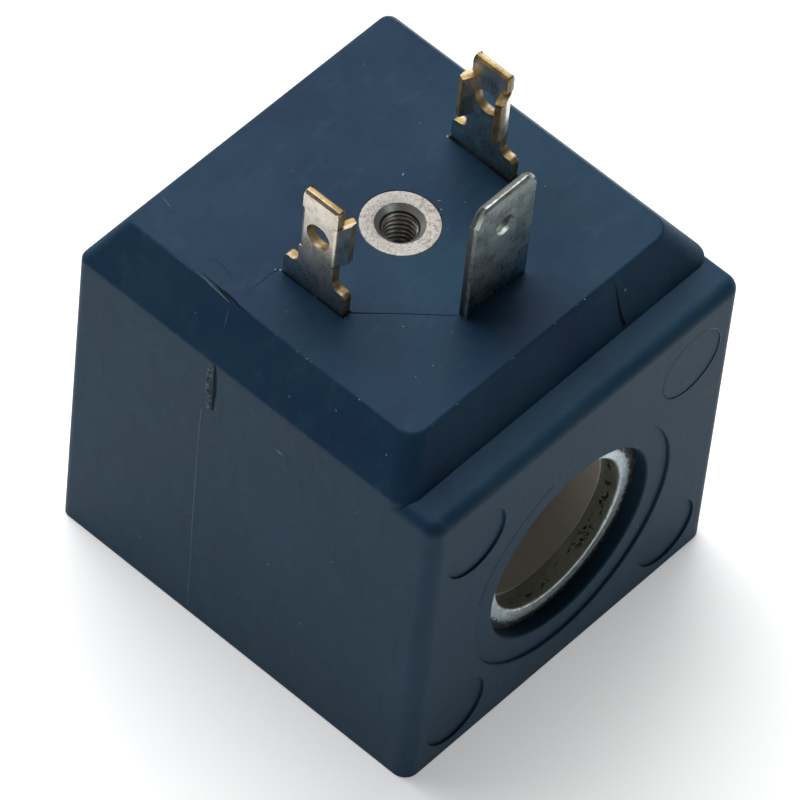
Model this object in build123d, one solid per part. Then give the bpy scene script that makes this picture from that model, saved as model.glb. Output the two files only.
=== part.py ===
from build123d import *
import os

# Solenoid coil for a valve, in millimetres. It stands on its base with the terminals up (+Z). The bore for
# the valve's tube runs along Y, and the face with the four round marks looks along -Y. The origin is the
# middle of the base.

# Bobbin and winding, from the bore outwards
tube_bore_radius = 6.55
bobbin_wall = 1.05
core_tape_thickness = 0.15
winding_build = 2.7
winding_tape_thickness = 0.3
flange_thickness = 1.2
flange_margin = 1.85
flange_corner_radius = 3.0
strip_thickness = 0.25
strip_width = 3.0
lead_slot_width = 1.0

# Steel of the magnetic circuit
yoke_thickness = 1.8
pole_hole_clearance = 0.2
pole_edge_radius = 0.2
leg_margin = 0.9
leg_corner_radius = 1.5
bridge_clearance = 2.9
bridge_bend_radius = 1.0
leg_neck_drop = 2.0
keeper_clearance = 0.2
keeper_inset = 1.5
keeper_tab_width = 10.0

# Moulded body, as walls and covers over what it holds
base_cover = 1.0
side_cover = 3.25
head_room = 5.3
core_depth = 32.4
front_flange_depth = 3.0
shoulder_drop = 3.85
side_bevel = 2.75
front_bevel = 2.1
rear_bevel = 2.0
wall_corner_radius = 1.25
crown_corner_radius = 1.6
rear_corner_radius = 0.8
ledge_edge_radius = 1.1
crown_edge_radius = 0.3
shoulder_edge_radius = 0.4
base_edge_radius = 0.15

# Recesses round the two mouths of the bore, and the marks on the front face
counterbore_depth = 1.4
pole_face_width = 1.75
land_width = 2.25
land_depth = 0.25
mark_radius = 3.1
mark_depth = 0.2
flush_mark_depth = 0.07
mark_side_inset = 5.0
mark_base_inset = 4.25
mark_rise = 20.75
counterbore_edge_radius = 0.2
land_edge_radius = 0.15
mark_edge_radius = 0.06

# Threaded insert and its washer
insert_radius = 3.1
insert_groove_depth = 0.35
insert_groove_width = 0.7
insert_groove_drop = 1.1
insert_floor = 1.0
shank_radius = 2.3
swage_lip = 0.4
swage_length = 0.7
thread_radius = 1.25
thread_mouth_depth = 0.625
washer_inset = 0.2
washer_thickness = 0.5

# Terminals, to the pin spacing of the usual three-blade square plug
terminal_thickness = 0.75
power_spacing = 18.0
foot_width = 5.9
foot_height = 2.15
tab_width = 3.35
tab_height = 10.4
notch_radius = 0.62
wing_bottom = 4.35
wing_top = 8.55
wing_length = 1.75
wing_angle = 68
wing_inset = 0.06
power_hole_radius = 1.12
power_hole_height = 6.5
power_root_depth = 3.0
tail_width = 2.8
lug_width = 1.6
lug_tip_drop = 1.3
earth_offset = 9.0
earth_width = 6.3
earth_height = 11.6
earth_corner = 1.1
earth_hole_radius = 0.95
earth_hole_height = 8.1
earth_bend_radius = 0.4
tip_bevel = 0.2

# Saddle that carries the terminals
carrier_cover = 2.2
carrier_overhang = 2.6
carrier_margin = 1.7
carrier_corner_radius = 1.0
bridge_side_gap = 1.025

# Lead wires, sleeves and solder
lead_radius = 0.22
lead_bend_radius = 0.7
lead_core_gap = 0.85
lead_drop = 1.8
finish_lead_inset = 2.5
lead_overlap = 1.1
sleeve_radius = 0.5
sleeve_end_gap = 1.4
solder_radius = 1.15

# Radii round the bore
core_radius = tube_bore_radius + bobbin_wall
winding_inner = core_radius + core_tape_thickness
winding_outer = winding_inner + winding_build
tape_outer = winding_outer + winding_tape_thickness
pole_hole_radius = tube_bore_radius + pole_hole_clearance
counterbore_radius = pole_hole_radius + pole_face_width
land_radius = counterbore_radius + land_width

# Heights
keeper_top_z = base_cover + yoke_thickness
bore_height = keeper_top_z + keeper_clearance + tape_outer
bridge_under_z = bore_height + tape_outer + bridge_clearance
bridge_top_z = bridge_under_z + yoke_thickness
flange_top_z = bridge_under_z - bridge_bend_radius
leg_top_z = bridge_under_z - leg_neck_drop
body_height = bridge_top_z + head_room
shoulder_z = body_height - shoulder_drop
foot_top_z = bridge_top_z + terminal_thickness
insert_shoulder_z = foot_top_z + washer_thickness
shank_bottom_z = bridge_under_z - swage_length
carrier_top_z = body_height - carrier_cover
lead_z = bridge_under_z - lead_drop

# Widths
flange_width = 2 * (tape_outer + flange_margin)
leg_width = flange_width + 2 * leg_margin
keeper_width = leg_width - 2 * keeper_inset
body_width = leg_width + 2 * side_cover
power_x = power_spacing / 2
bridge_width = power_spacing - terminal_thickness - 2 * bridge_side_gap
carrier_width = power_spacing + 2 * carrier_overhang
lead_rise_x = winding_inner + lead_core_gap
lead_side_x = power_x + terminal_thickness / 2 + lead_radius

# Places along the bore
body_depth = core_depth + front_flange_depth
front_y = -body_depth / 2
back_y = body_depth / 2
core_front_y = front_y + front_flange_depth
connector_y = (core_front_y + back_y) / 2
earth_y = connector_y - earth_offset
yoke_end_y = back_y - counterbore_depth
leg_inner_y = yoke_end_y - yoke_thickness
window_y = leg_inner_y - flange_thickness
winding_end_y = window_y - strip_thickness

# Corners of the two lead wires' routes
lug_clear = lug_width / 2 + sleeve_end_gap
finish_lead_y = finish_lead_inset - window_y
start_rise_top = (-lead_rise_x, window_y + flange_thickness / 2, lead_z)
start_run_end = (-lead_side_x, connector_y + lug_clear, lead_z)
finish_rise_top = (lead_rise_x, finish_lead_y, lead_z)
finish_run_end = (lead_side_x, connector_y - lug_clear, lead_z)


# Shapes that several pieces share

def block(x0, x1, y0, y1, z0, z1):
    """A plain block between two opposite corners."""
    middle = Pos((x0 + x1) / 2, (y0 + y1) / 2, (z0 + z1) / 2)
    return middle * Box(x1 - x0, y1 - y0, z1 - z0)


def along_bore(radius, y0, y1):
    """A cylinder on the bore's axis, from one place along it to another."""
    return Pos(0, (y0 + y1) / 2, bore_height) * Rot(X=90) * Cylinder(radius, y1 - y0)


def along_insert(radius, z0, z1):
    """An upright cylinder on the insert's axis."""
    return Pos(0, connector_y, (z0 + z1) / 2) * Cylinder(radius, z1 - z0)


def upright_plate(width, z0, z1, y0, y1, corner_radius):
    """A plate that stands across the bore, with rounded corners."""
    profile = Pos(0, (z0 + z1) / 2) * RectangleRounded(width, z1 - z0, corner_radius)
    return extrude(Plane((0, y1, 0), x_dir=(1, 0, 0), z_dir=(0, -1, 0)) * profile, amount=y1 - y0)


def write(name, piece):
    """One file for each piece, named as the piece is."""
    export_step(piece, f"parts/{name}.step")


# Magnetic circuit: a bracket bent to a U over the winding, and a keeper staked between its legs

def make_yoke_bracket():
    outer_radius = bridge_bend_radius + yoke_thickness
    outside = Pos(0, (base_cover + bridge_top_z) / 2) * Rectangle(
        2 * yoke_end_y, bridge_top_z - base_cover)
    inside = Pos(0, (base_cover + bridge_under_z) / 2) * Rectangle(
        2 * leg_inner_y, bridge_under_z - base_cover)
    outside = fillet(outside.vertices().group_by(Axis.Y)[-1], outer_radius)
    inside = fillet(inside.vertices().group_by(Axis.Y)[-1], bridge_bend_radius)
    side_view = Plane((-bridge_width / 2, 0, 0), x_dir=(0, 1, 0), z_dir=(1, 0, 0))
    bracket = extrude(side_view * (outside - inside), amount=bridge_width)
    for y0, y1 in ((-yoke_end_y, -leg_inner_y), (leg_inner_y, yoke_end_y)):
        bracket += upright_plate(leg_width, base_cover, leg_top_z, y0, y1, leg_corner_radius)
        bracket -= block(-keeper_tab_width / 2, keeper_tab_width / 2, y0, y1, base_cover, keeper_top_z)
    bracket -= along_bore(pole_hole_radius, -yoke_end_y, yoke_end_y)
    rims = bracket.edges().filter_by(GeomType.CIRCLE).group_by(Axis.Y)
    bracket = fillet(rims[0] + rims[-1], pole_edge_radius)
    return bracket - along_insert(shank_radius, bridge_under_z, bridge_top_z)


def make_yoke_keeper():
    half_width = keeper_width / 2
    half_tab = keeper_tab_width / 2
    keeper = block(-half_width, half_width, -leg_inner_y, leg_inner_y, base_cover, keeper_top_z)
    return keeper + block(-half_tab, half_tab, -yoke_end_y, yoke_end_y, base_cover, keeper_top_z)


# Bobbin and winding

def make_bobbin():
    bobbin = along_bore(core_radius, -leg_inner_y, leg_inner_y)
    for y0, y1 in ((-leg_inner_y, -window_y), (window_y, leg_inner_y)):
        bobbin += upright_plate(flange_width, keeper_top_z, flange_top_z, y0, y1, flange_corner_radius)
    bobbin -= along_bore(tube_bore_radius, -leg_inner_y, leg_inner_y)
    half_slot = lead_slot_width / 2
    slot = block(-half_slot, half_slot, window_y, leg_inner_y, bore_height - half_slot, flange_top_z)
    return bobbin - Pos(-lead_rise_x, 0, 0) * slot


def make_core_tape():
    return along_bore(winding_inner, -window_y, window_y) - along_bore(core_radius, -window_y, window_y)


def make_winding():
    turns = along_bore(winding_outer, -window_y, winding_end_y)
    return turns - along_bore(winding_inner, -window_y, winding_end_y)


def make_winding_tape(finish_lead):
    wrap = along_bore(tape_outer, -window_y, winding_end_y)
    return wrap - along_bore(winding_outer, -window_y, winding_end_y) - finish_lead


def make_lead_strip(start_lead):
    half_width = strip_width / 2
    film = block(-lead_rise_x - half_width, -lead_rise_x + half_width, winding_end_y, window_y,
                 bore_height - half_width, lead_z - lead_bend_radius)
    return film - along_bore(winding_inner, winding_end_y, window_y) - start_lead


# Leads: the start comes up a slot in the rear flange, the finish off the outside near the front flange

def round_bar(radius, path):
    """A round bar along a path."""
    end = Plane(path @ 0, z_dir=path % 0)
    return sweep(end * Circle(radius), path=path)


def wire(points):
    """A lead wire through the given corners, bent to the same radius at each one."""
    return round_bar(lead_radius, FilletPolyline(*points, radius=lead_bend_radius))


def make_start_lead():
    return wire([(-lead_rise_x, winding_end_y, bore_height),
                 (-lead_rise_x, window_y + flange_thickness / 2, bore_height),
                 start_rise_top,
                 start_run_end,
                 (-lead_side_x, connector_y - lead_overlap, lead_z)])


def make_finish_lead():
    lead = wire([(lead_rise_x, finish_lead_y, bore_height),
                 finish_rise_top,
                 finish_run_end,
                 (lead_side_x, connector_y + lead_overlap, lead_z)])
    return lead - along_bore(winding_outer, -window_y, winding_end_y)


def make_sleeve(far, near, lead):
    """A sleeve over the straight run of a lead, short of its two bends."""
    run = Line(far, near)
    gap_share = sleeve_end_gap / run.length
    return round_bar(sleeve_radius, Line(run @ gap_share, run @ (1 - gap_share))) - lead


def make_solder_joint(side, terminal, lead):
    blob = Pos(side * power_x, connector_y, lead_z) * Sphere(solder_radius)
    return blob - terminal - lead


# Terminals

def strip(width, low, high):
    """A flat upright strip between two heights."""
    return Pos(0, (low + high) / 2) * Rectangle(width, high - low)


def power_outline():
    """The flat blank of a power terminal, seen from the side, with heights measured from the body's top."""
    tail_foot = bridge_under_z - body_height
    lug_foot = lead_z - lug_tip_drop - body_height
    neck_top = foot_height + notch_radius
    shape = strip(foot_width, -power_root_depth, foot_height)
    shape += strip(tab_width + 2 * notch_radius, foot_height, neck_top)
    for side in (-1, 1):
        shape -= Pos(side * (tab_width / 2 + notch_radius), neck_top) * Circle(notch_radius)
    shape += strip(tab_width, foot_height, tab_height)
    shape += strip(tail_width, tail_foot, -power_root_depth) + strip(lug_width, lug_foot, tail_foot)
    return shape - Pos(0, power_hole_height) * Circle(power_hole_radius)


def make_wing(side):
    """One wing, folded towards +X from the blade's edge, with its outer skin on the blade's outer face."""
    wing = Pos(terminal_thickness / 2, wing_length / 2, 0) * Box(
        terminal_thickness, wing_length, wing_top - wing_bottom)
    fold = Pos(-terminal_thickness / 2, tab_width / 2 - wing_inset, (wing_top + wing_bottom) / 2)
    wing = fold * Rot(Z=-wing_angle) * wing
    return wing if side > 0 else mirror(wing, about=Plane.XZ)


def make_power_terminal(side):
    """The left terminal has its wings towards +X, and the right one is its mirror image."""
    face = Plane((-terminal_thickness / 2, 0, 0), x_dir=(0, 1, 0), z_dir=(1, 0, 0))
    blade = extrude(face * power_outline(), amount=terminal_thickness)
    tip_edges = blade.faces().sort_by(Axis.Z)[-1].edges().filter_by(Axis.Y)
    blade = chamfer(tip_edges, tip_bevel)
    for wing_side in (-1, 1):
        blade += make_wing(wing_side)
    blade = Pos(-power_x, connector_y, body_height) * blade
    return blade if side < 0 else mirror(blade, about=Plane.YZ)


def make_earth_terminal():
    half_width = earth_width / 2
    top_z = body_height + earth_height
    outline = Pos(0, (bridge_top_z + top_z) / 2) * Rectangle(earth_width, top_z - bridge_top_z)
    outline = chamfer(outline.vertices().group_by(Axis.Y)[-1], earth_corner)
    outline -= Pos(0, body_height + earth_hole_height) * Circle(earth_hole_radius)
    front = Plane((0, earth_y + terminal_thickness / 2, 0), x_dir=(1, 0, 0), z_dir=(0, -1, 0))
    blade = extrude(front * outline, amount=terminal_thickness)
    tip_edges = blade.faces().sort_by(Axis.Z)[-1].edges().filter_by(Axis.X)
    blade = chamfer(tip_edges, tip_bevel)
    outer_y = earth_y - terminal_thickness / 2
    foot = block(-half_width, half_width, outer_y, connector_y, bridge_top_z, foot_top_z)
    foot += along_insert(half_width, bridge_top_z, foot_top_z)
    terminal = blade + foot
    across = terminal.edges().filter_by(Axis.X)
    inner = across.sort_by_distance((0, outer_y + terminal_thickness, foot_top_z))[0]
    terminal = fillet(inner, earth_bend_radius)
    across = terminal.edges().filter_by(Axis.X)
    heel = across.sort_by_distance((0, outer_y, bridge_top_z))[0]
    terminal = fillet(heel, earth_bend_radius + terminal_thickness)
    return terminal - along_insert(shank_radius, bridge_top_z, foot_top_z)


# Threaded insert: its shank passes through the washer, earth foot and bridge, and is swaged underneath

def insert_envelope():
    body = along_insert(insert_radius, insert_shoulder_z, body_height)
    body += along_insert(shank_radius, shank_bottom_z, insert_shoulder_z)
    return body + along_insert(shank_radius + swage_lip, shank_bottom_z, bridge_under_z)


def make_threaded_insert():
    groove_top_z = body_height - insert_groove_drop
    groove_foot_z = groove_top_z - insert_groove_width
    insert = insert_envelope()
    insert -= along_insert(insert_radius, groove_foot_z, groove_top_z) - along_insert(
        insert_radius - insert_groove_depth, groove_foot_z, groove_top_z)
    insert -= along_insert(thread_radius, shank_bottom_z + insert_floor, body_height)
    place = Pos(0, connector_y, body_height - thread_mouth_depth / 2)
    return insert - place * Cone(thread_radius, thread_radius + thread_mouth_depth, thread_mouth_depth)


def make_contact_washer():
    ring = along_insert(insert_radius - washer_inset, foot_top_z, insert_shoulder_z)
    return ring - along_insert(shank_radius, foot_top_z, insert_shoulder_z)


# Carrier: a moulded saddle on the bridge

def make_terminal_carrier(held):
    front = earth_y - terminal_thickness / 2 - carrier_margin
    back = connector_y + foot_width / 2 + carrier_margin
    half_width = carrier_width / 2
    footprint = Pos(0, (front + back) / 2, bridge_under_z) * RectangleRounded(
        carrier_width, back - front, carrier_corner_radius)
    saddle = extrude(footprint, amount=carrier_top_z - bridge_under_z)
    saddle -= block(-bridge_width / 2, bridge_width / 2, front, back, bridge_under_z, bridge_top_z)
    saddle -= insert_envelope()
    for piece in held:
        saddle -= piece
    return saddle


# Moulded body

def crown_outline(width, front, back):
    """The body's outline from above, with fuller corners in front than at the rear."""
    outline = Pos(0, (front + back) / 2) * Rectangle(width, back - front)
    outline = fillet(outline.vertices().group_by(Axis.Y)[0], crown_corner_radius)
    return fillet(outline.vertices().group_by(Axis.Y)[-1], rear_corner_radius)


def crown_block():
    """The body behind the flange, with its sloping shoulders."""
    foot = crown_outline(body_width, core_front_y, back_y)
    top = crown_outline(body_width - 2 * side_bevel, core_front_y + front_bevel, back_y - rear_bevel)
    body = extrude(foot, amount=shoulder_z)
    body += loft([Pos(0, 0, shoulder_z) * foot, Pos(0, 0, body_height) * top])
    body = fillet(body.faces().sort_by(Axis.Z)[-1].edges(), crown_edge_radius)
    shoulder = body.edges().filter_by_position(Axis.Z, shoulder_z - 0.001, shoulder_z + 0.001)
    return fillet(shoulder, shoulder_edge_radius)


def front_flange():
    """The plate round the front mouth of the bore, run back into the sides behind the crown's corners."""
    depth = front_flange_depth + 1.5 * crown_corner_radius
    flange = block(-body_width / 2, body_width / 2, front_y, front_y + depth, 0, shoulder_z)
    flange = fillet(flange.edges().filter_by(Axis.Z).group_by(Axis.Y)[0], wall_corner_radius)
    rim = flange.faces().sort_by(Axis.Z)[-1].edges().sort_by(Axis.Y)[:-1]
    return fillet(rim, min(ledge_edge_radius, 0.9 * wall_corner_radius))


def mouth_recesses():
    """The counterbore down to the steel and the shallow land round it, at both ends of the bore."""
    recess = along_bore(counterbore_radius, front_y, -yoke_end_y) + along_bore(
        counterbore_radius, yoke_end_y, back_y)
    recess += along_bore(land_radius, front_y, front_y + land_depth)
    return recess + along_bore(land_radius, back_y - land_depth, back_y)


def mould_marks():
    """Four round marks on the front face, three of them shallow and the upper right one almost flush."""
    mark_x = body_width / 2 - mark_side_inset
    top_z = mark_base_inset + mark_rise
    marks = []
    for x, z, depth in ((-mark_x, mark_base_inset, mark_depth), (mark_x, mark_base_inset, mark_depth),
                        (-mark_x, top_z, mark_depth), (mark_x, top_z, flush_mark_depth)):
        marks.append(Pos(x, front_y + depth / 2, z) * Rot(X=90) * Cylinder(mark_radius, depth))
    return marks


def soften(body, rim_radius, rim_y, edge_radius):
    """The body with its rims of one radius rounded, at the given place along the bore and opposite it."""
    rims = [edge for edge in body.edges().filter_by(GeomType.CIRCLE)
            if abs(edge.radius - rim_radius) < 0.001
            and abs(abs(edge.arc_center.Y) - abs(rim_y)) < 0.001]
    return fillet(rims, edge_radius)


def make_encapsulation(inside):
    body = crown_block() + front_flange()
    body = fillet(body.edges().group_by(Axis.Z)[0], base_edge_radius)
    body -= mouth_recesses()
    for mark in mould_marks():
        body -= mark
    body = soften(body, land_radius, front_y, land_edge_radius)
    body = soften(body, counterbore_radius, front_y + land_depth, counterbore_edge_radius)
    body = soften(body, mark_radius, front_y, mark_edge_radius)
    body -= along_bore(pole_hole_radius + pole_edge_radius, front_y, back_y)
    body -= along_bore(tape_outer, -window_y, window_y)
    body -= insert_envelope()
    for piece in inside:
        body -= piece
    return body


# The pieces, from the middle out

start_lead = make_start_lead()
finish_lead = make_finish_lead()
power_left = make_power_terminal(-1)
power_right = make_power_terminal(1)
earth = make_earth_terminal()
washer = make_contact_washer()

pieces = {
    "yoke_bracket": make_yoke_bracket(),
    "yoke_keeper": make_yoke_keeper(),
    "bobbin": make_bobbin(),
    "core_tape": make_core_tape(),
    "winding": make_winding(),
    "winding_tape": make_winding_tape(finish_lead),
    "lead_strip": make_lead_strip(start_lead),
    "start_lead": start_lead,
    "finish_lead": finish_lead,
    "start_sleeve": make_sleeve(start_rise_top, start_run_end, start_lead),
    "finish_sleeve": make_sleeve(finish_rise_top, finish_run_end, finish_lead),
    "power_terminal_left": power_left,
    "power_terminal_right": power_right,
    "earth_terminal": earth,
    "threaded_insert": make_threaded_insert(),
    "contact_washer": washer,
    "solder_joint_left": make_solder_joint(-1, power_left, start_lead),
    "solder_joint_right": make_solder_joint(1, power_right, finish_lead),
    "terminal_carrier": make_terminal_carrier([power_left, power_right, earth, washer]),
}
pieces["encapsulation"] = make_encapsulation(pieces.values())

os.makedirs("parts", exist_ok=True)
for name, piece in pieces.items():
    write(name, piece)
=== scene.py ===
import math
import random

import bmesh
import bpy
from mathutils import Matrix, Vector, noise
from mathutils.bvhtree import BVHTree


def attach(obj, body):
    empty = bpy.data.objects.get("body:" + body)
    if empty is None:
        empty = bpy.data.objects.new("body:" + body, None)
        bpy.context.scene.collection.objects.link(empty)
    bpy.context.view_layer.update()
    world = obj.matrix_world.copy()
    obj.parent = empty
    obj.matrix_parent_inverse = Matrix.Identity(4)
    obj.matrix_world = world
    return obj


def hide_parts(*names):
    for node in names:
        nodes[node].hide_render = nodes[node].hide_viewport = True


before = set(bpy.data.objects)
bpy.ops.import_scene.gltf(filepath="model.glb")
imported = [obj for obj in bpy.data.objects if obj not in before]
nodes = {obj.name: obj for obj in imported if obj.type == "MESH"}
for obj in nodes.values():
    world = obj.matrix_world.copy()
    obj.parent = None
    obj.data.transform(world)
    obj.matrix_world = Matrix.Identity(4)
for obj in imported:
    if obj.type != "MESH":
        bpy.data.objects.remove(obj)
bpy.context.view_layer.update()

# Coil for a solenoid valve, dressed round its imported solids. Sizes are in millimetres, and each mesh is
# scaled to metres as it is made. The base stands on z = 0, the bore runs along y and the terminals point up.


# Magnetic circuit
# A bracket of 1.8 mm steel bent to a U over the winding, and a flat keeper staked between its legs. Both are
# blanked from cold-rolled strip and zinc plated. Only a ring of the legs shows, at the mouths of the bore.

MM = 0.001


class Signal:
    """One outlet of a shader node. Sums and products written on it add the Math nodes."""

    def __init__(self, finish, socket):
        self.finish = finish
        self.socket = socket

    def math(self, operation, first, second=0.0):
        return self.finish.node("ShaderNodeMath", {"operation": operation}, {0: first, 1: second})

    def __add__(self, other):
        return self.math("ADD", self, other)

    def __sub__(self, other):
        return self.math("SUBTRACT", self, other)

    def __rsub__(self, other):
        return self.math("SUBTRACT", other, self)

    def __mul__(self, other):
        return self.math("MULTIPLY", self, other)

    def __pow__(self, other):
        return self.math("POWER", self, other)

    def __abs__(self):
        return self.math("ABSOLUTE", self)

    __radd__ = __add__
    __rmul__ = __mul__


class Finish:
    """A material being mixed. The values given with it stay the same all over the surface."""

    def __init__(self, name, **fixed):
        self.material = bpy.data.materials.new(name)
        self.material.use_nodes = True
        self.tree = self.material.node_tree
        self.shader = self.tree.nodes["Principled BSDF"]
        for socket, value in fixed.items():
            self.shader.inputs[socket.replace("_", " ")].default_value = value

    def node(self, kind, settings=None, sockets=None, outlet=0):
        """A node of any type, with its settings first and then the values or links of its sockets."""
        made = self.tree.nodes.new(kind)
        for name, value in (settings or {}).items():
            setattr(made, name, value)
        for name, value in (sockets or {}).items():
            if isinstance(value, Signal):
                self.tree.links.new(value.socket, made.inputs[name])
            else:
                made.inputs[name].default_value = value
        return Signal(self, made.outputs[outlet])

    def feed(self, **inlets):
        """Leads what changes over the surface to the shader."""
        for name, signal in inlets.items():
            self.tree.links.new(signal.socket, self.shader.inputs[name.replace("_", " ")])

    def place(self):
        """The point on the piece, in millimetres."""
        point = self.node("ShaderNodeTexCoord", outlet="Object")
        return self.node("ShaderNodeVectorMath", {"operation": "SCALE"}, {0: point, "Scale": 1000})

    def stretched(self, place, x, y, z):
        """The place with each of its lengths multiplied."""
        return self.node("ShaderNodeVectorMath", {"operation": "MULTIPLY"}, {0: place, 1: (x, y, z)})

    def axes(self, place):
        """The three coordinates of a place."""
        split = self.node("ShaderNodeSeparateXYZ", sockets={0: place})
        return [Signal(self, outlet) for outlet in split.socket.node.outputs]

    def cloud(self, place, per_mm, detail=2.0, roughness=0.5):
        """Soft noise from 0 to 1 with so many blotches in a millimetre."""
        return self.node("ShaderNodeTexNoise", sockets={
            "Vector": place, "Scale": per_mm, "Detail": detail, "Roughness": roughness})

    def ramp(self, value, low, high):
        """0 below low, 1 above high, and a smooth rise between."""
        return self.node("ShaderNodeMapRange", {"interpolation_type": "SMOOTHSTEP"}, {
            "Value": value, "From Min": low, "From Max": high})

    def blend(self, share, first, second):
        """A colour that turns from the first into the second."""
        return self.node("ShaderNodeMix", {"data_type": "RGBA"}, {0: share, 6: first, 7: second}, 2)

    def relief(self, height):
        """A height in millimetres, as a normal."""
        return self.node("ShaderNodeBump", sockets={"Height": height, "Distance": MM})


def tone(red, green, blue):
    """A colour as the eye reads it, from 0 to 255, in the renderer's linear light."""
    return tuple(c / 255 / 12.92 if c < 10.3 else ((c / 255 + 0.055) / 1.055) ** 2.4
                 for c in (red, green, blue)) + (1,)


def dress(finish, *names):
    """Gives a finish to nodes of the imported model."""
    for name in names:
        nodes[name].data.materials.clear()
        nodes[name].data.materials.append(finish.material)


bore_height = 13.75
pole_hole_radius = 6.75
pole_middle_y = 15.4
bright_ring_width = 0.85

zinc = Finish("zinc_plated_steel", Metallic=1.0)
place = zinc.place()
x, y, z = zinc.axes(place)
radius = (x * x + (z - bore_height) * (z - bore_height)) ** 0.5
fine = zinc.cloud(place, 3.6, 5, 0.65)
coarse = zinc.cloud(place, 0.7, 3)
pits = zinc.ramp(zinc.cloud(zinc.stretched(place, 1, 1.6, 1), 1.7, 5, 0.68) + zinc.ramp(x, 1.0, 4.0) * 0.05,
                 0.55, 0.62)
middle = 1 - zinc.ramp(abs(abs(y) - pole_middle_y), 0.2, 0.55)
hole_wall = 1 - zinc.ramp(radius, pole_hole_radius + 0.02, pole_hole_radius + 0.12)
pressed = zinc.ramp(radius + (fine - 0.5) * 1.6, pole_hole_radius + bright_ring_width,
                    pole_hole_radius + bright_ring_width + 0.3)
colour = zinc.blend(zinc.ramp(fine, 0.35, 0.65), tone(156, 171, 178), tone(196, 208, 212))
colour = zinc.blend(pressed, colour, tone(58, 64, 64))
colour = zinc.blend(zinc.ramp(fine, 0.56, 0.68) * pressed, colour, tone(150, 158, 158))
colour = zinc.blend(hole_wall, colour, zinc.blend(coarse, tone(134, 138, 128), tone(170, 172, 160)))
colour = zinc.blend(pits * (hole_wall * (0.1 + middle * 0.9) + pressed * 0.5), colour, tone(30, 28, 26))
zinc.feed(Base_Color=colour,
          Roughness=0.3 + coarse * 0.1 + pressed * 0.22 + hole_wall * 0.12,
          Normal=zinc.relief(fine * (0.006 + 0.03 * pressed) - pits * (0.01 + hole_wall * 0.03)))
dress(zinc, "yoke_bracket", "yoke_keeper")


# Bobbin and terminal carrier
# The bobbin is moulded in beige glass-filled nylon, with two square flanges, and its bore is the one that
# slides over the valve's tube. The carrier is the same plastic, clipped on the bracket under the terminals.

nylon = Finish("beige_nylon")
place = nylon.place()
fibres = nylon.cloud(nylon.stretched(place, 1, 0.25, 1), 2.4, 4, 0.6)
stain = nylon.cloud(place, 0.25)
nylon.feed(Base_Color=nylon.blend(fibres * 0.5 + stain * 0.4, tone(150, 144, 134), tone(184, 178, 166)),
           Roughness=0.4 + fibres * 0.14,
           Normal=nylon.relief(fibres * 0.02))
dress(nylon, "bobbin", "terminal_carrier")


# Winding and its two leads
# Enamelled copper wire, wound in close layers. The start of the wire comes up a slot in the rear flange and
# the finish comes off the outside, and each runs to its terminal's lug.

wire_pitch = 0.16

copper = Finish("enamelled_copper", Metallic=1.0)
place = copper.place()
along_bore = copper.axes(place)[1]
angle = along_bore * (2 * math.pi / wire_pitch)
turns = copper.node("ShaderNodeMath", {"operation": "SINE"}, {0: angle})
lay = copper.cloud(copper.stretched(place, 0.3, 3, 0.3), 1.0, 3)
copper.feed(Base_Color=copper.blend(lay, tone(150, 76, 40), tone(206, 120, 70)),
            Roughness=0.24 + lay * 0.14,
            Normal=copper.relief(turns * 0.02))
dress(copper, "winding", "start_lead", "finish_lead")


# Insulation
# Yellow polyester film lies on the bobbin's core, under the start lead and round the finished winding. Each
# lead's free run is in a sleeve of woven glass.

film = Finish("yellow_film", Coat_Weight=0.6, Coat_Roughness=0.12)
wrap = film.cloud(film.stretched(film.place(), 0.5, 2.5, 0.5), 0.8, 3)
film.feed(Base_Color=film.blend(wrap, tone(196, 152, 40), tone(226, 188, 78)),
          Roughness=0.28 + wrap * 0.12,
          Normal=film.relief(wrap * 0.03))
dress(film, "core_tape", "winding_tape", "lead_strip")

woven = Finish("woven_sleeve")
weave = woven.cloud(woven.stretched(woven.place(), 1, 0.6, 1), 6)
woven.feed(Base_Color=woven.blend(weave, tone(206, 202, 184), tone(236, 234, 222)),
           Roughness=0.6 + weave * 0.2,
           Normal=woven.relief(weave * 0.05))
dress(woven, "start_sleeve", "finish_sleeve")


# Solder joints
# Each lead is laid across its terminal's lug and dipped in solder, which sets as a round bead.

solder = Finish("solder", Metallic=1.0)
ripple = solder.cloud(solder.place(), 1.2, 3)
solder.feed(Base_Color=solder.blend(ripple, tone(176, 178, 178), tone(214, 214, 212)),
            Roughness=0.16 + ripple * 0.2,
            Normal=solder.relief(ripple * 0.05))
dress(solder, "solder_joint_left", "solder_joint_right")


# Earth terminal
# One strip of 0.75 mm tinned steel, blanked, coined round its tip and bent to an L. Its foot lies on the
# bracket, clamped under the insert's shoulder, and its blade takes the plug's earth socket.

body_height = 34.5
connector_y = 1.5
bridge_top_z = 29.2
shank_radius = 2.3
terminal_thickness = 0.75
earth_y = connector_y - 9.0
earth_half_width = 3.15
earth_tip_z = body_height + 11.6
earth_hole_z = body_height + 8.1
earth_hole_radius = 0.95
earth_fold_radius = 0.4
earth_corner = 1.1
earth_coined_from_z = earth_tip_z - 1.6
fold_steps = 8
hole_steps = 40
coin_width = 0.2
edge_softness = 0.06


def arc(across, up, radius, first, last, steps):
    """Points along part of a circle, from one angle to another in degrees."""
    angles = [math.radians(first + (last - first) * i / steps) for i in range(steps + 1)]
    return [(across + radius * math.cos(a), up + radius * math.sin(a)) for a in angles]


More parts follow.
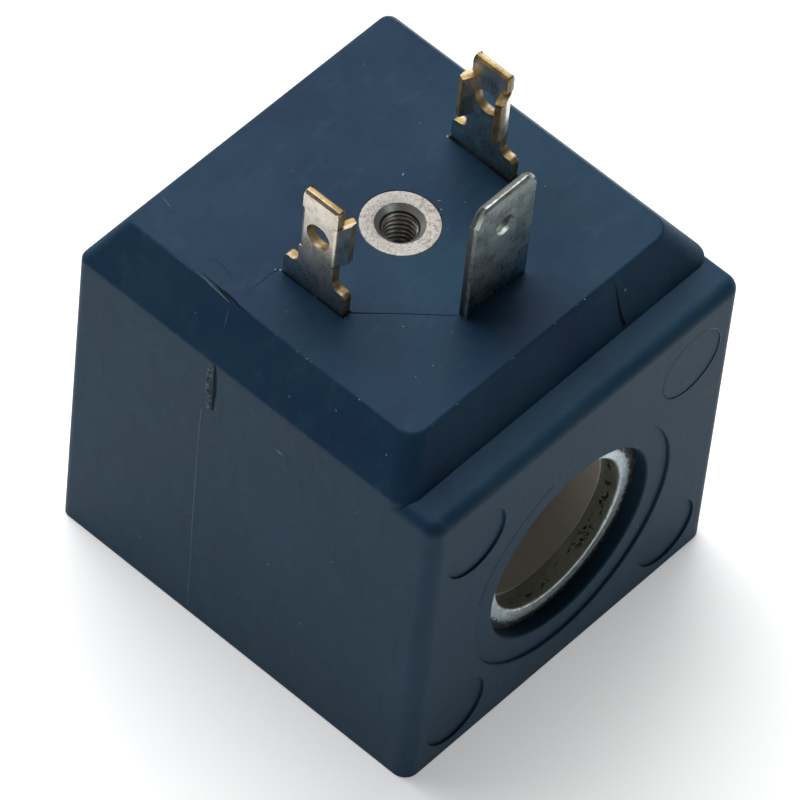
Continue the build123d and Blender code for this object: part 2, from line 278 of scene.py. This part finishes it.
def blank(outline, holes):
    """A flat blank of the terminals' strip, its back on x = 0 and its outline in y and z."""
    sheet = bmesh.new()
    edges = []
    for loop in [outline] + holes:
        points = [sheet.verts.new((0, across, up)) for across, up in loop]
        edges += [sheet.edges.new((points[i - 1], points[i])) for i in range(len(points))]
    bmesh.ops.triangle_fill(sheet, use_beauty=True, edges=edges)
    grown = bmesh.ops.extrude_face_region(sheet, geom=sheet.faces[:])["geom"]
    front = [part for part in grown if isinstance(part, bmesh.types.BMVert)]
    bmesh.ops.translate(sheet, verts=front, vec=(terminal_thickness, 0, 0))
    bmesh.ops.recalc_face_normals(sheet, faces=sheet.faces[:])
    return sheet


def coin(sheet, width, chosen):
    """Presses a flat bevel along the rims of the sheet that are chosen by their two ends."""
    rims = [edge for edge in sheet.edges if edge.is_manifold and edge.calc_face_angle() > 0.8
            and chosen(*[vert.co for vert in edge.verts])]
    bmesh.ops.bevel(sheet, geom=rims, offset=width, segments=1, profile=0.5, affect="EDGES")


def note_sheared(sheet):
    """Gives the sheared walls the second finish, and each point its share of the way through the sheet."""
    through = sheet.verts.layers.float.new("through")
    for vert in sheet.verts:
        vert[through] = vert.co.x / terminal_thickness
    for wall in sheet.faces:
        wall.material_index = int(abs(wall.normal.x) < 0.8)


def make_piece(name, sheet, finishes, stands_for=(), softness=0.0):
    """Makes a mesh in millimetres a piece of the coil, in place of the nodes that it stands for."""
    bmesh.ops.recalc_face_normals(sheet, faces=sheet.faces[:])
    sheet.transform(Matrix.Scale(MM, 4))
    mesh = bpy.data.meshes.new(name)
    sheet.to_mesh(mesh)
    sheet.free()
    mesh.shade_smooth()
    mesh.set_sharp_from_angle(angle=math.radians(32))
    for finish in finishes:
        mesh.materials.append(finish.material)
    piece = bpy.data.objects.new(name, mesh)
    bpy.context.scene.collection.objects.link(piece)
    if softness:
        rounding = piece.modifiers.new("soft_edges", "BEVEL")
        rounding.width = softness * MM
        rounding.segments = 2
        rounding.limit_method = "ANGLE"
        rounding.angle_limit = math.radians(38)
        rounding.harden_normals = True
    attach(piece, "root")
    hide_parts(*stands_for)
    return piece


def tin_over(name, clean, dull, stained, dragged, bare, edge_share):
    """Tinned strip, and its sheared walls, where the tin is dragged over part of the bare metal."""
    skin = Finish(name + "_skin", Metallic=1.0)
    place = skin.place()
    rolled = skin.cloud(skin.stretched(place, 1, 1, 0.2), 3.0, 3)
    bloom = skin.cloud(place, 0.8, 4, 0.6)
    spots = skin.ramp(skin.cloud(place, 1.3, 5, 0.7), 0.5, 0.7)
    grain = skin.cloud(place, 5.0, 4, 0.7)
    colour = skin.blend(skin.ramp(bloom, 0.3, 0.7), dull, clean)
    colour = skin.blend(skin.ramp(grain, 0.4, 0.7) * 0.2, colour, dull)
    colour = skin.blend(spots * 0.4, colour, stained)
    skin.feed(Base_Color=colour,
              Roughness=0.18 + rolled * 0.06 + bloom * 0.1 + grain * 0.04,
              Normal=skin.relief(rolled * 0.001 + bloom * 0.0016))
    sheared = Finish(name + "_sheared", Metallic=1.0)
    place = sheared.place()
    through = sheared.node("ShaderNodeAttribute", {"attribute_name": "through"}, outlet="Fac")
    drag = sheared.cloud(place, 2.6, 3)
    torn = sheared.ramp(through + (drag - 0.5) * 0.35, edge_share - 0.12, edge_share + 0.12)
    grime = sheared.ramp(sheared.cloud(place, 1.2, 5, 0.65), 0.42, 0.66)
    colour = sheared.blend(grime * 0.7, sheared.blend(torn, dragged, bare), stained)
    sheared.feed(Base_Color=colour,
                 Roughness=0.42 + torn * 0.1 + drag * 0.08,
                 Normal=sheared.relief(drag * (0.01 + 0.02 * torn)))
    return [skin, sheared]


tinned_steel = tin_over("tinned_steel", tone(180, 190, 186), tone(152, 162, 158), tone(104, 100, 88),
                        tone(172, 180, 176), tone(84, 92, 92), 0.4)

fold_z = bridge_top_z + terminal_thickness + earth_fold_radius
fold_run = (earth_fold_radius + terminal_thickness / 2) * math.pi / 2
blade_outer_y = earth_y - terminal_thickness / 2
foot_run = connector_y - (blade_outer_y + terminal_thickness + earth_fold_radius)
ring_z = fold_z - fold_run - foot_run
outline = [(earth_half_width, ring_z)]
outline += arc(earth_half_width - earth_corner, earth_tip_z - earth_corner, earth_corner, 0, 90, 8)
outline += [(0.95 - earth_half_width, earth_tip_z), (0.45 - earth_half_width, earth_tip_z - 0.35),
            (0.1 - earth_half_width, earth_tip_z - 1.1), (-earth_half_width, earth_tip_z - 1.5),
            (-earth_half_width, ring_z)]
outline += arc(0, ring_z, earth_half_width, 180, 360, 24)[1:-1]
sheet = blank(outline, [arc(0, earth_hole_z, earth_hole_radius, 0, 360, hole_steps)[:-1],
                        arc(0, ring_z, shank_radius, 0, 360, hole_steps)[:-1]])
coin(sheet, coin_width, lambda a, b: min(a.z, b.z) > earth_coined_from_z and abs(a.x - b.x) < 1e-6)
for i in range(fold_steps + 1):
    bmesh.ops.bisect_plane(sheet, geom=sheet.verts[:] + sheet.edges[:] + sheet.faces[:], dist=1e-6,
                           plane_co=(0, 0, fold_z - fold_run * i / fold_steps), plane_no=(0, 0, 1))
note_sheared(sheet)
fold_centre = terminal_thickness + earth_fold_radius
for vert in sheet.verts:
    run = fold_z - vert.co.z
    if run > 0:
        turn = min(run / fold_run, 1) * math.pi / 2
        reach = fold_centre - vert.co.x
        vert.co.x = fold_centre - reach * math.cos(turn) + max(run - fold_run, 0)
        vert.co.z = fold_z - reach * math.sin(turn)
stand = Matrix(((0, 1, 0, 0), (1, 0, 0, blade_outer_y), (0, 0, 1, 0), (0, 0, 0, 1)))
sheet.transform(stand)
make_piece("earth_blade", sheet, tinned_steel, ["earth_terminal"], edge_softness)


# Power terminals
# Two tinned brass blades, blanked with a broad foot, a notched neck and a pierced tab. Two wings are folded
# in from the tab's edges to thicken it for the plug's sockets, and a lug under the carrier takes the lead.

power_x = 9.0
foot_half_width = 2.95
foot_top = body_height + 2.15
foot_corner = 0.4
notch_radius = 0.62
tab_half_width = 1.675
tip_z = body_height + 10.4
tip_corner = 0.15
power_hole_z = body_height + 6.5
power_hole_radius = 1.12
wing_foot_z = body_height + 4.35
wing_top_z = body_height + 8.55
wing_length = 1.7
wing_angle = math.radians(68)
wing_outer_radius = 0.35
wing_bend_setback = wing_outer_radius * math.tan(math.radians(33))
wing_bend_steps = 6
wing_corner = 1.62
wing_root = 1.2
web_half_width = 1.4
root_half_width = 1.4
root_z = body_height - 3.0
tail_z = 27.4
lug_half_width = 0.8
lug_z = 24.3


def wing_section():
    """A wing and its fold, seen from above, as points with their share of the way through the sheet."""
    along = Vector((math.sin(wing_angle), math.cos(wing_angle)))
    inward = Vector((along.y, -along.x))
    corner = Vector((0, wing_corner))
    tip = corner + along * wing_length
    start, end = corner - Vector((0, wing_bend_setback)), corner + along * wing_bend_setback
    points = [(Vector((0.004, wing_root)), 0)]
    for i in range(wing_bend_steps + 1):
        t = i / wing_bend_steps
        points.append((start * (1 - t) ** 2 + corner * (2 * t * (1 - t)) + end * t ** 2, 0))
    points += [(tip - along * 0.5, 0), (tip + inward * 0.22 - along * 0.02, 0.3), (tip + inward * 0.66, 0.9)]
    inner_tip = tip + inward * terminal_thickness - along * 0.08
    inner_corner = corner + Vector((terminal_thickness, -terminal_thickness * math.tan(wing_angle / 2)))
    points += [(inner_tip, 1), (inner_corner, 1), (Vector((terminal_thickness - 0.05, wing_root)), 0.9)]
    return points


def add_wing(sheet, side):
    """Adds one wing to the sheet, as a closed prism that overlaps the web."""
    through = sheet.verts.layers.float["through"]
    rings = []
    for level in (wing_foot_z, wing_top_z):
        ring = []
        for point, share in wing_section():
            vert = sheet.verts.new((point.x, side * point.y, level))
            vert[through] = share
            ring.append(vert)
        rings.append(ring)
    count = len(rings[0])
    free_edge = (count - 6, count - 5, count - 4)
    for i in range(count):
        j = (i + 1) % count
        wall = sheet.faces.new((rings[0][i], rings[0][j], rings[1][j], rings[1][i]))
        wall.material_index = int(i in free_edge)
    for ring in rings:
        sheet.faces.new(ring).material_index = 1


tinned_brass = tin_over("tinned_brass", tone(234, 228, 214), tone(204, 196, 180), tone(104, 82, 60),
                        tone(168, 154, 132), tone(156, 134, 90), 0.42)

half = [(lug_half_width, lug_z), (lug_half_width, tail_z), (root_half_width, tail_z),
        (root_half_width, root_z), (foot_half_width, root_z)]
half += arc(foot_half_width - foot_corner, foot_top - foot_corner, foot_corner, 0, 90, 5)
half += arc(tab_half_width + notch_radius, foot_top + notch_radius, notch_radius, 270, 180, 8)
half += [(tab_half_width, wing_foot_z - 0.15), (web_half_width, wing_foot_z - 0.05),
         (web_half_width, wing_top_z + 0.05), (tab_half_width, wing_top_z + 0.15)]
half += arc(tab_half_width - tip_corner, tip_z - tip_corner, tip_corner, 0, 90, 3)
outline = half + [(-across, up) for across, up in reversed(half)]
for side, hand in ((-1, "left"), (1, "right")):
    sheet = blank(outline, [arc(0, power_hole_z, power_hole_radius, 0, 360, hole_steps)[:-1]])
    coin(sheet, coin_width, lambda a, b: min(a.z, b.z) > tip_z - 0.2 and abs(a.x - b.x) < 1e-6)
    note_sheared(sheet)
    add_wing(sheet, 1)
    add_wing(sheet, -1)
    sheet.transform(Matrix.Translation((side * (power_x + terminal_thickness / 2), connector_y, 0))
                    @ Matrix.Scale(-side, 4, (1, 0, 0)))
    make_piece("power_blade_" + hand, sheet, tinned_brass, ["power_terminal_" + hand],
               edge_softness)


# Threaded insert and contact washer
# The insert is turned from free-cutting steel with an M3 thread for the plug's screw. Its shank passes
# through the washer, the earth terminal's foot and the bracket, and is swaged over underneath.

insert_radius = 3.1
groove_radius = 2.75
groove_low_z, groove_high_z = 32.7, 33.4
head_foot_z = 30.45
swage_radius = 2.7
swage_top_z = 27.4
swage_foot_z = 26.7
turned_chamfer = 0.08
thread_pitch = 0.5
thread_minor_radius = 1.25
thread_major_radius = 1.5
thread_mouth_radius = 1.92
thread_flank_slope = 2.6
thread_crest_share = 0.35
thread_foot_z = 28.5
hole_foot_z = 27.7
drill_point = 0.2
turn_steps = 72

turned = Finish("turned_steel", Metallic=0.85)
place = turned.place()
x, y, _ = turned.axes(place)
speckle = turned.cloud(place, 5.0, 5, 0.7)
patches = turned.cloud(place, 0.9, 3)
radius = (x * x + (y - connector_y) * (y - connector_y)) ** 0.5
in_hole = 1 - turned.ramp(radius, thread_mouth_radius - 0.04, thread_mouth_radius + 0.02)
in_thread = 1 - turned.ramp(radius, thread_major_radius - 0.02, thread_major_radius + 0.04)
crest = 1 - turned.ramp(radius, thread_minor_radius + 0.05, thread_minor_radius + 0.18)
right_low = turned.ramp(x * 0.8 - (y - connector_y) * 0.6, 0.2, 2.4)
dark_specks = turned.ramp(speckle, 0.5, 0.62)
brown = turned.ramp(turned.cloud(place, 2.4, 5, 0.7), 0.5, 0.62) * (0.35 + right_low * 0.65)
colour = turned.blend(patches, tone(152, 149, 145), tone(176, 173, 168))
colour = turned.blend(dark_specks * 0.6, colour, tone(96, 90, 84))
colour = turned.blend(brown * 0.6, colour, tone(116, 88, 66))
colour = turned.blend(in_hole, colour, tone(158, 157, 155))
# In the thread the roots are painted nearly black, painted shade in the grooves, and the crests stay light.
colour = turned.blend(in_thread, colour, turned.blend(crest, tone(38, 34, 31), tone(168, 162, 156)))
turned.feed(Base_Color=colour,
            Roughness=0.52 + patches * 0.1 - in_hole * 0.2,
            Normal=turned.relief(speckle * (0.05 - in_hole * 0.04)))

outside = [(0, swage_foot_z), (swage_radius - turned_chamfer, swage_foot_z),
           (swage_radius, swage_foot_z + turned_chamfer), (swage_radius, swage_top_z),
           (shank_radius, swage_top_z), (shank_radius, head_foot_z),
           (insert_radius - turned_chamfer, head_foot_z), (insert_radius, head_foot_z + turned_chamfer),
           (insert_radius, groove_low_z), (groove_radius, groove_low_z + 0.05),
           (groove_radius, groove_high_z - 0.05), (insert_radius, groove_high_z),
           (insert_radius, body_height - 0.1), (insert_radius - 0.09, body_height),
           (thread_mouth_radius + 0.02, body_height)]
under_thread = [(thread_minor_radius, thread_foot_z), (thread_minor_radius, hole_foot_z + drill_point),
                (0, hole_foot_z)]
turned_part = bmesh.new()
round_angles = [2 * math.pi * i / turn_steps for i in range(turn_steps)]


def ring_of(reaches, level):
    """A ring of points round the insert's axis, each at a radius of its own."""
    return [turned_part.verts.new((reach * math.cos(angle), reach * math.sin(angle), level))
            for reach, angle in zip(reaches, round_angles)]


def thread_radius(level, angle):
    """The hole's radius at a height and an angle: a right-hand thread, opened by a cone at its mouth."""
    phase = (level / thread_pitch + angle / (2 * math.pi)) % 1
    depth = min(max((0.5 - abs(phase - 0.5)) * thread_flank_slope - thread_crest_share, 0), 1)
    depth *= min((level - thread_foot_z) / thread_pitch, 1)
    cone = thread_mouth_radius - (body_height - level)
    return max(thread_minor_radius + (thread_major_radius - thread_minor_radius) * depth, cone)


rings = [ring_of([radius] * turn_steps, level) for radius, level in outside]
level = body_height - 0.02
while level > thread_foot_z:
    rings.append(ring_of([thread_radius(level, angle) for angle in round_angles], level))
    level -= thread_pitch / 10
rings += [ring_of([radius] * turn_steps, level) for radius, level in under_thread]
for lower, upper in zip(rings, rings[1:]):
    for i in range(turn_steps):
        turned_part.faces.new((lower[i - 1], lower[i], upper[i], upper[i - 1]))
bmesh.ops.remove_doubles(turned_part, verts=turned_part.verts[:], dist=1e-5)
turned_part.transform(Matrix.Translation((0, connector_y, 0)))
make_piece("insert", turned_part, [turned], ["threaded_insert"])

washer_plate = Finish("washer_plate", Metallic=1.0)
place = washer_plate.place()
rubbed = washer_plate.cloud(place, 2.0, 3)
washer_plate.feed(Base_Color=washer_plate.blend(rubbed, tone(170, 172, 170), tone(206, 206, 202)),
                  Roughness=0.32 + rubbed * 0.12,
                  Normal=washer_plate.relief(rubbed * 0.01))
dress(washer_plate, "contact_washer")


# Moulded body
# Blue epoxy, moulded round everything above in one shot. It fills the space round the winding, leaves the
# terminals, the insert's face and the bore open, and carries a thicker flange with four marks on its front.

shoulder_z = 30.65
counterbore_radius = 8.5

epoxy = Finish("blue_epoxy", Specular_IOR_Level=0.1)
place = epoxy.place()
x, _, z = epoxy.axes(place)
haze = epoxy.cloud(place, 0.07, 3, 0.6)
mottle = epoxy.cloud(place, 0.5, 5, 0.65)
flow = epoxy.cloud(epoxy.stretched(place, 1, 1, 0.14), 1.4, 4)
wiped = epoxy.cloud(epoxy.stretched(place, 0.3, 0.9, 1), 0.9, 5, 0.7)
skin = epoxy.cloud(place, 6.0, 3)
colour = epoxy.blend(epoxy.ramp(haze, 0.36, 0.64), tone(20, 46, 71), tone(28, 57, 78))
# The sides and front below the shoulder are painted a lighter, greyer blue: a painted reflection of the pale
# floor.
floor_reflection_below_shoulder = 1 - epoxy.ramp(z, shoulder_z - 1.2, shoulder_z + 0.3)
colour = epoxy.blend(floor_reflection_below_shoulder * 0.5, colour, tone(32, 62, 77))
colour = epoxy.blend(epoxy.ramp(mottle, 0.5, 0.78) * 0.35, colour, tone(42, 72, 88))
colour = epoxy.blend(epoxy.ramp(wiped, 0.52, 0.76) * 0.3, colour, tone(46, 77, 92))
colour = epoxy.blend(epoxy.ramp(flow, 0.55, 0.8) * 0.3, colour, tone(16, 36, 58))
# The counterbore is painted a darker blue out to just past its rim: painted shade in the recess.
bore_radius = (x * x + (z - bore_height) * (z - bore_height)) ** 0.5
recess_painted_shade = 1 - epoxy.ramp(bore_radius, counterbore_radius + 0.02, counterbore_radius + 0.25)
colour = epoxy.blend(recess_painted_shade * 0.45, colour, tone(12, 24, 38))
epoxy.feed(Base_Color=colour,
           Roughness=0.44 + haze * 0.1 + mottle * 0.1,
           Normal=epoxy.relief(flow * 0.02 + skin * 0.005 + mottle * 0.04 + wiped * 0.01))
dress(epoxy, "encapsulation")


# Marks of the moulding, and painted shade and highlights
# What mould and cure left on the body: cracks, flash lines and the torn stub of the gate, with dust settled
# on it since. Dark lines along the terminals' feet, round the land's upper left rim, round the upper right
# front mark and beside the gate stub are painted shade, and pale lines along the crown's left edge and round
# that mark are painted highlights.

body_side_x = 16.75
crown_side_x = 14.0
crown_front_y = -12.6
front_y = -17.7
land_radius = 10.75
mark_x, mark_z = 11.75, 25.0
mark_radius = 3.1
bead_step = 0.3
bead_sink = 0.004
foot_shade_places = (3.05, 2.2, 1.0, -0.4, -1.7, -3.05)

body_mesh = nodes["encapsulation"].data
body_skin = BVHTree.FromPolygons([vert.co / MM for vert in body_mesh.vertices],
                                 [tuple(face.vertices) for face in body_mesh.polygons])


def bead(sheet, points, rise=0.012):
    """A low bead on the body's skin, along points with a width each, tapering from one to the next."""
    run = []
    for (near, near_width), (far, far_width) in zip(points, points[1:]):
        near, far = Vector(near), Vector(far)
        steps = max(int((far - near).length / bead_step), 1)
        run += [(near.lerp(far, i / steps), near_width + (far_width - near_width) * i / steps)
                for i in range(steps)]
    run.append((Vector(points[-1][0]), points[-1][1]))
    rows = []
    for i, (point, width) in enumerate(run):
        ahead = run[min(i + 1, len(run) - 1)][0] - run[max(i - 1, 0)][0]
        spot, outward = body_skin.find_nearest(point)[:2]
        sideways = ahead.cross(outward).normalized() * width / 2
        foot = spot - outward * bead_sink
        rows.append([sheet.verts.new(foot - sideways), sheet.verts.new(spot + outward * rise),
                     sheet.verts.new(foot + sideways)])
    for near, far in zip(rows, rows[1:]):
        for i in range(2):
            sheet.faces.new((near[i], near[i + 1], far[i + 1], far[i]))


def on_top(*spots):
    """Points of a bead on the crown's flat top, each given as x, y and width."""
    return [((across, along, top), width) for across, along, width in spots]


def on_left(*spots):
    """Points of a bead on the body's left side, each given as y, z and width."""
    return [((-body_side_x, along, up), width) for along, up, width in spots]


def on_front(rim, width):
    """Points of a bead of one width round a rim on the front face."""
    return [((across, front_y, up), width) for across, up in rim]


# One dark finish for the real cracks and lines in the skin, and for the lines of painted shade and shadow set
# among them.
shadow = Finish("cracks_and_painted_shade", Specular_IOR_Level=0.1)
depth = shadow.cloud(shadow.place(), 2.0)
shadow.feed(Base_Color=shadow.blend(depth, tone(6, 11, 18), tone(16, 26, 38)), Roughness=0.7 + depth * 0.2)

top = body_height
dark_lines = bmesh.new()
bead(dark_lines, on_top((-13.6, 8.5, 0.03), (-13.72, 7.6, 0.1), (-13.74, 6.9, 0.16), (-13.86, 5.9, 0.34),
                        (-13.88, 5.1, 0.26), (-13.97, 4.1, 0.1), (-13.98, 3.1, 0.03)))
bead(dark_lines, on_top((-8.75, -1.5, 0.26), (-8.3, -2.0, 0.2), (-7.6, -2.7, 0.14), (-6.2, -4.1, 0.1),
                        (-4.8, -5.6, 0.12), (-3.3, -7.2, 0.09)))
bead(dark_lines, on_top((-9.5, 4.75, 0.09), (-10.4, 4.9, 0.05), (-11.2, 4.84, 0.07), (-12.0, 4.93, 0.04),
                        (-13.2, 4.78, 0.03)))
bead(dark_lines, on_top((-12.2, 9.0, 0.02), (-12.1, 7.9, 0.06), (-12.4, 6.6, 0.02)))
bead(dark_lines, [((7.46, -12.9, 33.9), 0.08), ((7.25, -13.35, 33.1), 0.22), ((7.05, -13.85, 32.2), 0.34),
                  ((6.95, -14.25, 31.45), 0.46), ((7.02, -14.55, 30.92), 0.56)])
# A dark line on the left side, just in front of the gate stub: painted shadow beside the stub.
bead(dark_lines, on_left((3.9, 30.6, 0.2), (3.8, 29.4, 0.42), (3.74, 27.6, 0.5), (3.8, 25.3, 0.24)))
# Dark lines along both faces of each power terminal's foot and across its front end: painted shade at the
# feet.
for edge, widths in ((-power_x - terminal_thickness / 2 - 0.05, (0.1, 0.16, 0.1, 0.14, 0.2, 0.16)),
                     (-power_x + terminal_thickness / 2 + 0.03, (0.04, 0.1, 0.06, 0.1, 0.16, 0.2)),
                     (power_x - terminal_thickness / 2 - 0.08, (0.34, 0.2, 0.1, 0.14, 0.26, 0.34)),
                     (power_x + terminal_thickness / 2 + 0.05, (0.1, 0.16, 0.12, 0.1, 0.2, 0.24))):
    bead(dark_lines, [((edge, connector_y + along, top), width) for along, width in zip(foot_shade_places, widths)])
for side in (-1, 1):
    bead(dark_lines, [((side * (power_x + across), connector_y - 3.02, top), 0.16) for across in (-0.5, 0.5)])
# A dark line round the land's upper left rim: painted shade at its step.
bead(dark_lines, on_front(arc(0, bore_height, land_radius + 0.15, 108, 166, 24), 0.12))
# A dark line round the left side of the upper right mark's rim: painted shade.
bead(dark_lines, on_front(arc(mark_x, mark_z, mark_radius + 0.06, 70, 240, 16), 0.06))
make_piece("cracks_and_shade_lines", dark_lines, [shadow])

# Pale finish for the flash lines and scratches, and for the painted highlights set among them.
flash_and_highlight = Finish("pale_flash_and_highlight", Specular_IOR_Level=0.3)
wear = flash_and_highlight.cloud(flash_and_highlight.place(), 1.6, 4)
flash_and_highlight.feed(Base_Color=flash_and_highlight.blend(wear, tone(38, 62, 80), tone(88, 112, 122)), Roughness=0.5 + wear * 0.2)

pale_lines = bmesh.new()
# A pale line along the crown's left edge, running a little way down it: painted highlight on the edge.
bead(pale_lines, [((-14.0, 11.4, top), 0.02), ((-13.94, 10.4, top), 0.05), ((-14.02, 9.4, top), 0.02),
                  ((-13.9, 8.6, top), 0.05), ((-13.92, 7.8, top), 0.1), ((-14.06, 7.0, top), 0.08),
                  ((-14.08, 6.2, top - 0.06), 0.11), ((-14.18, 5.2, top - 0.16), 0.03)], 0.02)
bead(pale_lines, [((-14.35, 5.05, 34.0), 0.03), ((-14.8, 4.85, 33.4), 0.08), ((-15.25, 4.65, 32.75), 0.03)])
bead(pale_lines, on_left((4.84, 24.6, 0.08), (4.9, 20.7, 0.06), (4.84, 15.9, 0.07), (4.8, 11.0, 0.08),
                         (4.66, 6.6, 0.06), (4.6, 0.6, 0.05)))
bead(pale_lines, on_top((-10.6, 15.4, 0.03), (-10.75, 14.7, 0.1), (-10.95, 13.8, 0.02)))
bead(pale_lines, on_left((-2.3, 26.5, 0.06), (-2.8, 26.45, 0.28), (-3.2, 26.3, 0.05)))
# A pale line round the right side of the same mark's rim: painted highlight.
bead(pale_lines, on_front(arc(mark_x, mark_z, mark_radius + 0.06, -110, 60, 16), 0.06))
make_piece("flash_and_highlight_lines", pale_lines, [flash_and_highlight])

gate_low_z, gate_high_z = 25.0, 30.6
gate_near_y, gate_far_y = 3.95, 4.62
gate_rise = 0.17
gate_rows, gate_columns = 48, 8

torn = Finish("torn_gate", Specular_IOR_Level=0.35)
place = torn.place()
crumbs = torn.cloud(place, 3.5, 4, 0.7)
torn.feed(Base_Color=torn.blend(torn.ramp(crumbs, 0.48, 0.66), tone(20, 42, 56), tone(84, 122, 132)),
          Roughness=0.5 + crumbs * 0.3,
          Normal=torn.relief(crumbs * 0.15))
stub = bmesh.new()
rows = []
for i in range(gate_rows + 1):
    level = gate_low_z + (gate_high_z - gate_low_z) * i / gate_rows
    row = []
    for j in range(gate_columns + 1):
        reach = gate_near_y + (gate_far_y - gate_near_y) * j / gate_columns
        lump = (noise.noise(Vector((reach * 3.1, level * 2.3, 0.4)))
                + noise.noise(Vector((reach * 7.3, level * 6.1, 2.8))))
        inside = min(min(j, gate_columns - j) / 1.5, min(i, gate_rows - i) / 3, 1)
        rise = gate_rise * inside * (0.8 + 0.5 * lump) - 0.04
        sway = 0.12 * noise.noise(Vector((0.7, level * 1.7, j * 0.1)))
        row.append(stub.verts.new((-body_side_x - rise, reach + sway, level)))
    rows.append(row)
for lower, upper in zip(rows, rows[1:]):
    for j in range(gate_columns):
        stub.faces.new((lower[j], lower[j + 1], upper[j + 1], upper[j]))
make_piece("gate_stub", stub, [torn])

dust_finish = Finish("dust", Specular_IOR_Level=0.1)
fleck = dust_finish.cloud(dust_finish.place(), 3.0)
dust_finish.feed(Base_Color=dust_finish.blend(fleck, tone(70, 92, 104), tone(150, 162, 162)),
                 Roughness=0.7 + fleck * 0.2)
dust = bmesh.new()
dice = random.Random(7)


def settle(place, size, stretch=1.0, turn=0.0):
    """A flat crumb of dust on the body."""
    spot, outward = body_skin.find_nearest(Vector(place))[:2]
    lie = outward.to_track_quat("Z", "Y").to_matrix().to_4x4() @ Matrix.Rotation(turn, 4, "Z")
    lie = Matrix.Translation(spot) @ lie @ Matrix.Diagonal((size * stretch, size, size * 0.4, 1))
    bmesh.ops.create_icosphere(dust, subdivisions=1, radius=1, matrix=lie)


def scatter(count, low, high):
    """Finer crumbs at chance places between two corners of a box."""
    for _ in range(count):
        place = [dice.uniform(a, b) for a, b in zip(low, high)]
        settle(place, dice.uniform(0.025, 0.05), dice.uniform(1, 2.4), dice.uniform(0, 3.1))


for across, along, size in ((-6.88, -5.11, 0.07), (-7.96, -9.02, 0.07), (-9.65, 4.9, 0.08),
                            (3.08, 0.28, 0.09), (-9.3, -1.65, 0.06), (12.2, 2.6, 0.07)):
    settle((across, along, top), size)
settle((3.5, 4.45, top), 0.06, 3.0, 0.4)
settle((3.6, 0.95, top), 0.05, 3.6, -0.6)
settle((-9.44, 4.62, top), 0.08, 1.3, 0.8)
settle((8.5, 4.6, top), 0.1, 1.5, 0.5)
settle((8.1, -13.3, 33.0), 0.06, 2.4, 0.3)
settle((8.34, front_y, 8.09), 0.08, 1.3, 0.4)
scatter(12, (-13.5, -12, top), (13.5, 15, top))
scatter(8, (-12.5, crown_front_y, top), (12.5, crown_front_y, top))
scatter(6, (-crown_side_x, -11.5, top), (-crown_side_x, 14, top))
scatter(4, (-16.3, -12, 31.5), (-14.5, 14, 34))
scatter(8, (-body_side_x, -15, 2), (-body_side_x, 16, 29))
make_piece("dust", dust, [dust_finish])


# Floor, light and camera
# A pale, faintly lit table top under one large softbox, high on the far side, in a dim room. The camera
# stands where the photograph's camera stood, with the same long lens. Sizes here are in metres.

reach = 3
floor_mesh = bpy.data.meshes.new("floor")
floor_mesh.from_pydata([(-reach, -reach, 0), (reach, -reach, 0), (reach, reach, 0), (-reach, reach, 0)], [],
                       [(0, 1, 2, 3)])
floor = bpy.data.objects.new("floor", floor_mesh)
bpy.context.scene.collection.objects.link(floor)
paper = Finish("pale_acrylic", Roughness=0.9, Specular_IOR_Level=0.1, Emission_Strength=0.34,
               Emission_Color=(1, 1, 1, 1))
tooth = paper.cloud(paper.place(), 0.02)
paper.feed(Base_Color=paper.blend(tooth, (0.88, 0.88, 0.88, 1), (0.92, 0.92, 0.92, 1)))
floor_mesh.materials.append(paper.material)


def softbox(name, place, aim, width, height, watts):
    """A rectangular lamp turned to face a point."""
    lamp = bpy.data.lights.new(name, "AREA")
    lamp.shape = "RECTANGLE"
    lamp.size, lamp.size_y = width, height
    lamp.energy = watts
    holder = bpy.data.objects.new(name, lamp)
    holder.location = place
    holder.rotation_mode = "QUATERNION"
    holder.rotation_quaternion = (Vector(aim) - Vector(place)).to_track_quat("-Z", "Y")
    bpy.context.scene.collection.objects.link(holder)


softbox("overhead_softbox", (0.27, 0.54, 0.78), (0, 0, 0), 1.3, 1.2, 18.2)

room = bpy.data.worlds.new("dim_room")
room.use_nodes = True
room.node_tree.nodes["Background"].inputs["Color"].default_value = (0.9, 0.95, 1.0, 1)
room.node_tree.nodes["Background"].inputs["Strength"].default_value = 0.12
bpy.context.scene.world = room
bpy.context.scene.view_settings.view_transform = "Standard"

right = Vector((0.6747768, -0.7346815, 0.0701382))
above = Vector((0.5532446, 0.5664443, 0.6107875))
behind = Vector((-0.4884636, -0.3733416, 0.7886820))
lens = bpy.data.cameras.new("camera")
lens.lens = 387.7
lens.sensor_width = 36
lens.clip_start, lens.clip_end = 0.01, 20
camera = bpy.data.objects.new("camera", lens)
camera.matrix_world = Matrix.Translation((-0.31238, -0.23907, 0.51956)) @ Matrix(
    (right, above, behind)).transposed().to_4x4()
bpy.context.scene.collection.objects.link(camera)
bpy.context.scene.camera = camera
